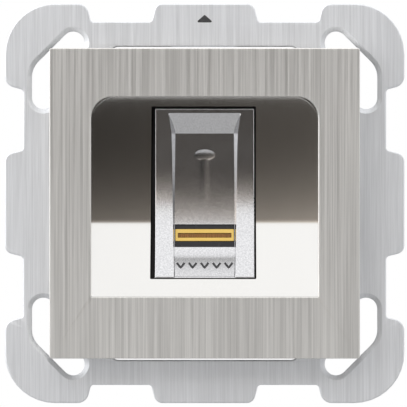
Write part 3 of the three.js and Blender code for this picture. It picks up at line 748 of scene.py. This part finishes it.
sensor_black = finish("sensor_black", epoxy, Specular_IOR_Level=0.35)
sensor_gold = finish("sensor_gold", gilded, Metallic=1.0)
sensor_silicon = finish("sensor_silicon", sensing)
coat(softened("sensor_package", "reader_insert", "sensor_window", 0.08), sensor_black)
coat(
    softened("sensor_earth_frame", "reader_insert", "sensor_gold_frame", 0.06, 3),
    sensor_gold,
)
coat(
    softened("sensor_reading_strip", "reader_insert", "sensor_strip", 0.04),
    sensor_silicon,
)

# ------------------------------------------------------------------ carrier
# The moulded frame that everything is built on: a ring that fills the back of the cover,
# and a square tube that passes through the plate. Its surface is finely spark eroded.


def moulded(dark, light, roughness=0.5):
    """Moulded plastic: a fine spark eroded grain and a slow variation in gloss."""
    def make(shade):
        grain = shade.noise(2600, 2600, 2600, detail=2)
        flow = shade.noise(70, 70, 70, detail=2)
        return {
            "Base Color": (grain * 0.4 + flow * 0.6).between(dark, light),
            "Roughness": roughness - 0.08 + flow * 0.1 + grain * 0.06,
            "Height": (0.35, 0.00003, grain),
        }
    return make


black_plastic = finish("black_plastic", moulded((0.008, 0.008, 0.009, 1), (0.022, 0.022, 0.024, 1)))
coat(softened("carrier_moulding", "reader_insert", "carrier_frame", 0.15), black_plastic)

# ------------------------------------------------------------------ spring clips
# Two clips bent from spring steel strip, bright zinc plated, with noses that snap behind
# the plate. Each is held to the carrier by two rivets whose heads are formed over.


def plated(shade):
    """Zinc plate: a pale, slightly blue steel with a fine crystalline variation."""
    crystals = shade.noise(1500, 1500, 1500, detail=3)
    stain = shade.noise(160, 160, 160, detail=2)
    return {
        "Base Color": (crystals * 0.5 + stain * 0.5).between((0.5, 0.52, 0.55, 1), (0.74, 0.75, 0.76, 1)),
        "Roughness": 0.26 + crystals * 0.1 + stain * 0.06,
        "Height": (0.2, 0.00002, crystals),
    }


def turned(name, body, node, profile, material, slot, facets=40):
    """A round piece along Y through the middle of a node, from radii and depths."""
    low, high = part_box(node)
    middle_x, middle_z = (low[0] + high[0]) / 2 / MM, (low[2] + high[2]) / 2 / MM
    work = Work()
    turns = [step * 2 * math.pi / facets for step in range(facets)]
    rings = [
        work.ring([(middle_x + radius * math.cos(t), middle_z + radius * math.sin(t)) for t in turns], depth)
        for radius, depth in profile
    ]
    work.wall(*rings)
    work.faces += [tuple(rings[0]), tuple(rings[-1])]
    item = work.made(name, body, node, sharp=50)
    coat(item, material)
    return item


def slotted(item, half_width, depth, across):
    """Saws a driver's slot into the rear end of a round piece."""
    corners = [Vector(corner) for corner in item.bound_box]
    middle = sum(corners, Vector()) / 8
    back = max(corner.y for corner in corners)
    saw = bpy.data.meshes.new("saw")
    work = bmesh.new()
    bmesh.ops.create_cube(work, size=1.0)
    for corner in work.verts:
        x, y, z = corner.co
        corner.co = (
            middle.x + x * 2 * across * MM,
            back + y * 2 * depth * MM,
            middle.z + z * 2 * half_width * MM,
        )
    work.to_mesh(saw)
    work.free()
    blade = bpy.data.objects.new("saw", saw)
    bpy.context.collection.objects.link(blade)
    cut = item.modifiers.new("slot", "BOOLEAN")
    cut.operation, cut.object, cut.solver = "DIFFERENCE", blade, "EXACT"
    item.modifiers.move(len(item.modifiers) - 1, 0)
    flats = item.modifiers["flats"]
    flats.show_viewport = False
    bpy.context.view_layer.update()
    ready = item.evaluated_get(bpy.context.evaluated_depsgraph_get())
    item.data = bpy.data.meshes.new_from_object(ready)
    item.modifiers.remove(item.modifiers["slot"])
    flats.show_viewport = True
    item.data.set_sharp_from_angle(angle=math.radians(35))
    bpy.data.objects.remove(blade)
    bpy.data.meshes.remove(saw)
    return item


zinc_steel = finish("zinc_steel", plated, Metallic=1.0)
for end in ("top", "bottom"):
    coat(softened(f"spring_clip_{end}", "reader_insert", f"clip_{end}", 0.1), zinc_steel)
for i in range(1, 5):
    turned(f"clip_rivet_{i}_steel", "reader_insert", f"clip_rivet_{i}", [
        (0.75, -5), (0.85, -4.9), (0.85, -1.3), (1.5, -1.3),
        (1.6, -1.15), (1.45, -0.85), (1.0, -0.65), (0.45, -0.6),
    ], zinc_steel, "zinc_steel")

# ------------------------------------------------------------------ guide screws
# Two slotted pan head screws that hold the finger guide's flange to the carrier.

for side in ("left", "right"):
    screw = turned(f"guide_screw_{side}_steel", "reader_insert", f"guide_screw_{side}", [
        (0.45, 2.1), (0.72, 2.35), (0.72, 5.3), (1.42, 5.3),
        (1.5, 5.4), (1.5, 5.85), (1.25, 6.18), (0.8, 6.3),
    ], zinc_steel, "zinc_steel")
    slotted(screw, 0.25, 0.45, 2.0)

# ------------------------------------------------------------------ sensor board
# A small green circuit board across the back of the guide. An amber flexible circuit
# joins it to the sensor, and a light emitting diode on it shines into a smoke grey light
# pipe behind the dimple.


def masked(shade):
    """Solder mask over copper: tracks and pours show through as paler bands."""
    here = shade.place(1, 1, 1)
    across = shade.node("SeparateXYZ", {0: here}, output=0)
    upwards = shade.node("SeparateXYZ", {0: here}, output=2)
    block = shade.noise(210, 210, 210, detail=0)
    run = (block > 0.52) * abs(across.waves(900)) + (1 - (block > 0.52)) * abs(upwards.waves(900))
    tracks = run.step(0.72, 0.8) * shade.noise(90, 90, 90, detail=1).step(0.42, 0.46)
    weave = shade.noise(1800, 1800, 1800, detail=1)
    return {
        "Base Color": (tracks * 0.8 + weave * 0.2).between((0.006, 0.045, 0.02, 1), (0.03, 0.16, 0.07, 1)),
        "Roughness": 0.3 + weave * 0.12,
        "Height": (0.5, 0.00003, tracks),
    }


def amber(shade):
    """Polyimide film with the copper conductors that run along it."""
    across = shade.node("SeparateXYZ", {0: shade.place(1, 1, 1)}, output=0)
    lines = abs(across.waves(3100)).step(0.45, 0.6)
    haze = shade.noise(300, 300, 300, detail=2)
    return {
        "Base Color": (lines * 0.8 + haze * 0.2).between((0.26, 0.085, 0.01, 1), (0.55, 0.26, 0.05, 1)),
        "Roughness": 0.25 + haze * 0.12,
        "Height": (0.4, 0.00002, lines),
    }


def smoked(shade):
    haze = shade.noise(600, 600, 600, detail=2)
    return {
        "Base Color": haze.between((0.02, 0.02, 0.024, 1), (0.06, 0.06, 0.066, 1)),
        "Roughness": 0.08 + haze * 0.08,
    }


circuit_board = finish("circuit_board", masked)
amber_film = finish("amber_film", amber, Coat_Weight=0.3)
smoke_lens = finish("smoke_lens", smoked, Transmission_Weight=0.25)
coat(softened("sensor_board_laminate", "reader_insert", "sensor_board", 0.05), circuit_board)
coat(softened("sensor_flex_film", "reader_insert", "sensor_flex", 0.03, 1), amber_film)
coat(softened("status_led_lens", "reader_insert", "status_led", 0.12), smoke_lens)
turned("light_pipe_rod", "reader_insert", "light_pipe", [
    (0.6, 2.1), (0.9, 2.18), (1.0, 2.35), (1.0, 4.4), (0.9, 4.5),
], smoke_lens, "smoke_lens")

# ------------------------------------------------------------------ electronics can
# A moulded box behind the carrier with a boss in each corner, closed by a rear cover.
# Four long slotted screws pass through both into the carrier.

coat(
    softened("module_housing_moulding", "reader_insert", "module_housing", 0.3, 3),
    black_plastic,
)
coat(softened("rear_cover_moulding", "reader_insert", "rear_cover", 0.3, 3), black_plastic)
for i in range(1, 5):
    screw = turned(f"housing_screw_{i}_steel", "reader_insert", f"housing_screw_{i}", [
        (0.5, 2.0), (0.95, 2.5), (0.95, 21.5), (1.9, 21.5),
        (2.0, 21.62), (2.0, 22.2), (1.7, 22.75), (1.05, 23.0),
    ], zinc_steel, "zinc_steel")
    slotted(screw, 0.3, 0.7, 3.0)

# ------------------------------------------------------------------ main board
# The reader's circuit board, with its components on the front: three moulded chips with
# bent leads, a crystal in a can, two electrolytic capacitors, an inductor, a buzzer and
# the connector that an amber flexible circuit from the sensor board plugs into.

coat(softened("main_board_laminate", "reader_insert", "main_board", 0.06), circuit_board)

LEAD_PITCH = 0.8
LEAD_REACH = 0.75


def tinned(shade):
    wipe = shade.noise(900, 900, 900, detail=2)
    return {
        "Base Color": wipe.between((0.62, 0.62, 0.6, 1), (0.84, 0.84, 0.81, 1)),
        "Roughness": 0.22 + wipe * 0.14,
        "Height": (0.2, 0.00002, wipe),
    }


def compound(shade):
    grain = shade.noise(3200, 3200, 3200, detail=2)
    flow = shade.noise(260, 260, 260, detail=1)
    return {
        "Base Color": (grain * 0.5 + flow * 0.5).between((0.012, 0.012, 0.013, 1), (0.035, 0.035, 0.036, 1)),
        "Roughness": 0.52 + grain * 0.14,
        "Height": (0.4, 0.00002, grain),
    }


def leads(name, node):
    """Bent leads along both upright sides of a chip, down to the board."""
    low, high = [[c / MM for c in corner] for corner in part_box(node)]
    count = int((high[2] - low[2] - 0.6) / LEAD_PITCH) + 1
    middle = (low[2] + high[2]) / 2
    work = Work()
    for side, edge in ((-1, low[0]), (1, high[0])):
        for k in range(count):
            z = middle + (k - (count - 1) / 2) * LEAD_PITCH
            knee = (low[1] + high[1]) / 2
            path = [(0, knee), (0.25, knee), (0.42, high[1] - 0.12), (LEAD_REACH, high[1] - 0.12)]
            rows = []
            for reach, depth in path:
                first = len(work.points)
                work.points += [(edge + side * reach, depth + dy, z + dz)
                                for dy, dz in ((0, -0.16), (0, 0.16), (0.11, 0.16), (0.11, -0.16))]
                rows.append(list(range(first, first + 4)))
            work.wall(*rows)
            work.faces += [tuple(rows[0]), tuple(rows[-1])]
    item = work.made(name, "reader_insert")
    coat(item, tinned_copper)


tinned_copper = finish("tinned_copper", tinned, Metallic=1.0)
chip_black = finish("chip_black", compound)
grey_plastic = finish("grey_plastic", moulded((0.07, 0.075, 0.08, 1), (0.12, 0.125, 0.13, 1), 0.45))
for chip in ("processor", "memory", "transceiver"):
    coat(softened(f"{chip}_chip_body", "reader_insert", f"{chip}_chip", 0.12), chip_black)
    leads(f"{chip}_chip_leads", f"{chip}_chip")
coat(softened("crystal_can", "reader_insert", "crystal", 0.4, 4), tinned_copper)
coat(softened("inductor_core", "reader_insert", "inductor", 0.5, 3), grey_plastic)
coat(
    softened("board_connector_shell", "reader_insert", "board_connector", 0.15),
    grey_plastic,
)
coat(softened("board_flex_film", "reader_insert", "board_flex", 0.03, 1), amber_film)
for i in (1, 2):
    turned(f"capacitor_{i}_can", "reader_insert", f"capacitor_{i}", [
        (2.3, 7.7), (2.9, 7.75), (3.1, 7.95), (3.15, 8.2), (3.15, 12.0), (2.95, 12.2),
        (2.95, 12.45), (3.15, 12.65), (3.15, 13.4), (3.0, 13.5),
    ], tinned_copper, "tinned_copper")
turned("buzzer_can", "reader_insert", "buzzer", [
    (0.8, 10.6), (0.8, 10.0), (3.7, 10.0), (4.1, 10.15), (4.2, 10.5), (4.2, 13.3), (4.1, 13.5),
], chip_black, "chip_black")

# ------------------------------------------------------------------ terminal header
# A green shrouded header that stands on the back of the main board and looks out through
# the rear cover. Its four square pins are soldered through the board.

green_plastic = finish("green_plastic", moulded((0.012, 0.11, 0.035, 1), (0.025, 0.19, 0.065, 1), 0.42))
coat(
    softened("terminal_header_shroud", "reader_insert", "terminal_header", 0.12),
    green_plastic,
)
for i in range(1, 5):
    coat(
        softened(f"header_pin_{i}_brass", "reader_insert", f"header_pin_{i}", 0.12),
        tinned_copper,
    )

# ------------------------------------------------------------------ pluggable terminal
# The green plug that the wires are clamped in. Each pole has a tinned contact, a zinc
# plated cage that rises around the wire, and the slotted screw that draws the cage up.

coat(softened("plug_body_moulding", "terminal_plug", "plug_body", 0.12), green_plastic)
for i in range(1, 5):
    contact = softened(f"plug_contact_{i}_tin", "terminal_plug", f"plug_contact_{i}", 0.06)
    coat(contact, tinned_copper)
    coat(softened(f"wire_cage_{i}_steel", f"wire_cage_{i}", f"wire_cage_{i}", 0.1), zinc_steel)
    start, end = [corner[1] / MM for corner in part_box(f"clamp_screw_{i}")]
    screw = turned(f"clamp_screw_{i}_steel", f"clamp_screw_{i}", f"clamp_screw_{i}", [
        (0.6, start), (0.95, start + 0.3), (0.95, end - 1.3), (1.42, end - 1.3), (1.5, end - 1.22),
        (1.5, end - 0.12), (1.38, end),
    ], zinc_steel, "zinc_steel")
    slotted(screw, 0.25, 0.6, 2.0)
# ------------------------------------------------------------------ studio
# A white surround that is dark where the camera stands, as polished metal needs, a pale
# floor below, and one large soft light at the left.

CAMERA_DISTANCE = 0.9
FRAME_WIDTH = 0.07842        # how much of the plate's plane the picture takes in
FLOOR_Z = -0.062
FLOOR_REACH = 2.5
FLOOR_BACK = 0.5


def plain(shade):
    soft = shade.noise(3, 3, 3)
    return {"Base Color": soft.between((0.43, 0.43, 0.43, 1), (0.47, 0.47, 0.47, 1))}


floor_mesh = bpy.data.meshes.new("floor")
floor_mesh.from_pydata([
    (-FLOOR_REACH, -FLOOR_REACH, FLOOR_Z), (FLOOR_REACH, -FLOOR_REACH, FLOOR_Z),
    (FLOOR_REACH, FLOOR_BACK, FLOOR_Z), (-FLOOR_REACH, FLOOR_BACK, FLOOR_Z),
], [], [(0, 1, 2, 3)])
floor_mesh.materials.append(finish("pale_stage", plain, Roughness=0.8))
floor = bpy.data.objects.new("floor", floor_mesh)
bpy.context.collection.objects.link(floor)


def softbox(name, place, size, power):
    data = bpy.data.lights.new(name, "AREA")
    data.shape, data.size, data.size_y = "RECTANGLE", *size
    data.energy = power
    item = bpy.data.objects.new(name, data)
    item.location = place
    item.rotation_euler = (-Vector(place)).to_track_quat("-Z", "Y").to_euler()
    item.visible_camera = False
    bpy.context.collection.objects.link(item)


softbox("light_left", (-0.75, -0.35, 0.1), (0.5, 0.9), 2.2)

DARK_HALF_WIDTH, DARK_TOP = 0.42, 0.44
world = bpy.data.worlds.new("studio")
world.use_nodes = True
surround = Shade(world.node_tree)
heading = surround.node("TexCoord")
east, north, up = [surround.node("SeparateXYZ", {0: heading}, output=i) for i in range(3)]
dark = (1 - abs(east).step(DARK_HALF_WIDTH - 0.12, DARK_HALF_WIDTH + 0.12)) * (0 - north).step(0, 0.3)
dark = dark * (1 - up.step(DARK_TOP - 0.02, DARK_TOP + 0.03)) * up.step(-0.4, -0.2)
gloom = (up * up * up * up * 16 + 0.058) * surround.maths("POWER", 2.0, east * -7)
gloom = surround.node("CombineColor", {0: gloom * 1.12, 1: gloom, 2: gloom * 0.88})
glow = 1.28 - east * 0.25 + up.step(0.2, 0.6) * 0.1
seen = dark.between(surround.node("CombineColor", {0: glow, 1: glow, 2: glow}), gloom)
background = world.node_tree.nodes["Background"]
straight = surround.node("LightPath")
world.node_tree.links.new(straight.between(seen, (1, 1, 1, 1)).socket, background.inputs["Color"])
background.inputs["Strength"].default_value = 1.0
bpy.context.scene.world = world

camera_data = bpy.data.cameras.new("camera")
camera_data.sensor_width = 36
camera_data.lens = 36 * CAMERA_DISTANCE / FRAME_WIDTH
camera_data.clip_end = 10
camera = bpy.data.objects.new("camera", camera_data)
camera.location = (-0.00022, PLATE_FRONT * MM - CAMERA_DISTANCE, -0.00003)
camera.rotation_euler = (math.radians(90), 0, 0)
bpy.context.collection.objects.link(camera)
bpy.context.scene.camera = camera
bpy.context.scene.view_settings.view_transform = "Standard"
